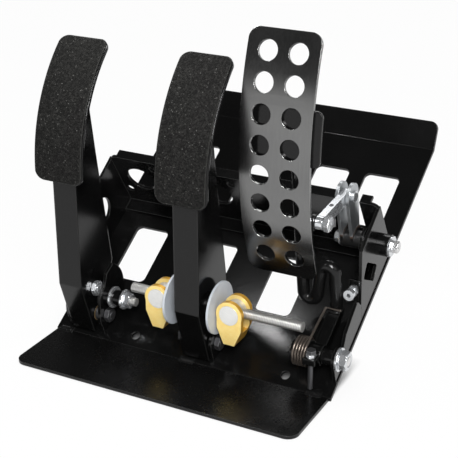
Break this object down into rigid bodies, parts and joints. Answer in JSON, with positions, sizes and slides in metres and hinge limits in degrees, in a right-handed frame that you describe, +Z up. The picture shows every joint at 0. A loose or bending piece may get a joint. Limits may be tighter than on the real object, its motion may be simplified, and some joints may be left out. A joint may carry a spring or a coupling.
{
  "type": "pedal box",
  "caption": "Floor-mounted car pedal box: clutch, brake and throttle pedals on a folded steel base, with a brake balance bar and a cable throttle linkage.",
  "frame": {"origin": "middle of the heel plate's underside", "axes": "+X to the driver's right, +Y forward and away from the driver, +Z up"},
  "size_m": [0.312, 0.3352, 0.3188],
  "materials": {
    "black_paint": "satin",
    "dark_steel": "satin",
    "steel": "satin",
    "zinc": "bright",
    "grit": "grainy",
    "bronze": "satin",
    "pale_plastic": "satin",
    "gold": "anodised",
    "spring_steel": "satin"
  },
  "bodies": {
    "base": {"heel_plate": "black_paint", "ramp_plate": "black_paint", "stitch_welds": "black_paint", "cylinder_bracket": "black_paint", "throttle_side_plate": "black_paint", "clutch_left_cheek": "black_paint", "clutch_right_cheek": "black_paint", "brake_left_cheek": "black_paint", "brake_right_cheek": "black_paint", "clutch_pivot_bolt": "dark_steel", "clutch_pivot_spacer": "dark_steel", "clutch_pivot_nut": "dark_steel", "brake_pivot_bolt": "dark_steel", "brake_pivot_nut": "dark_steel", "side_stud": "steel", "stud_sleeves": "black_paint", "stud_washers": "zinc", "stud_nut": "zinc", "hinge_bolt": "steel", "hinge_washer": "zinc", "hinge_nut": "zinc", "hinge_spacers": "black_paint", "throttle_spring": "spring_steel", "crank_lug": "black_paint", "crank_tube": "black_paint", "crank_bolt": "steel", "crank_washers": "zinc", "crank_nut": "zinc", "cable_tab": "black_paint", "cable_adjuster": "zinc"},
    "clutch": {"clutch_arm": "black_paint", "clutch_pad_plate": "black_paint", "clutch_grip": "grit", "clutch_bush": "bronze", "push_rod_bolt": "zinc", "push_rod_nut": "zinc"},
    "brake": {"brake_arm": "black_paint", "brake_pad_plate": "black_paint", "brake_grip": "grit", "brake_bush": "bronze", "bias_tube": "black_paint"},
    "bias": {"bias_bar": "steel", "bias_bearing": "steel", "side_washers": "pale_plastic"},
    "left_hanger": {"left_trunnion": "zinc", "left_clevis": "gold"},
    "right_hanger": {"right_trunnion": "zinc", "right_clevis": "gold"},
    "throttle": {"throttle_plate": "black_paint", "throttle_back_plate": "black_paint", "throttle_bar": "black_paint", "throttle_lever": "black_paint", "link_tab": "black_paint", "link_pin": "zinc", "idle_screw": "zinc", "idle_nut": "zinc"},
    "crank": {"crank": "zinc", "fork_pin": "zinc"},
    "link": {"throttle_link": "zinc", "link_bolt": "zinc"}
  },
  "joints": [
    {"name": "clutch_press", "type": "hinge", "parent": "base", "child": "clutch", "pos_m": [-0.1165, 0.04725, 0.025], "axis": [-1, 0, 0], "range_deg": [0, 16]},
    {"name": "brake_press", "type": "hinge", "parent": "base", "child": "brake", "pos_m": [0.0105, 0.04725, 0.025], "axis": [-1, 0, 0], "range_deg": [0, 14]},
    {"name": "bias_tilt", "type": "hinge", "parent": "brake", "child": "bias", "pos_m": [0.0105, 0.04425, 0.063], "axis": [0, 0, 1], "range_deg": [-3, 3]},
    {"name": "left_hanger_swing", "type": "hinge", "parent": "bias", "child": "left_hanger", "pos_m": [-0.0285, 0.04425, 0.063], "axis": [1, 0, 0], "range_deg": [-20, 100]},
    {"name": "right_hanger_swing", "type": "hinge", "parent": "bias", "child": "right_hanger", "pos_m": [0.0465, 0.04425, 0.063], "axis": [1, 0, 0], "range_deg": [-20, 100]},
    {"name": "throttle_press", "type": "hinge", "parent": "base", "child": "throttle", "pos_m": [0.1255, 0.05375, 0.034], "axis": [-1, 0, 0], "range_deg": [0, 13], "stiffness_Nm_per_rad": 0.8, "springref_deg": -28.65, "deforming": ["throttle_spring"]},
    {"name": "crank_turn", "type": "hinge", "parent": "base", "child": "crank", "pos_m": [0.1193, 0.14398, 0.11069], "axis": [-1, 0, 0], "range_deg": [0, 29.3]},
    {"name": "link_turn", "type": "hinge", "parent": "crank", "child": "link", "pos_m": [0.11675, 0.13108, 0.15869], "axis": [-1, 0, 0], "range_deg": [-36.7, 0]}
  ],
  "couplings": [
    {"joint": "crank_turn", "follows": "throttle_press", "ratio": 2.246},
    {"joint": "link_turn", "follows": "throttle_press", "ratio": -2.81}
  ]
}
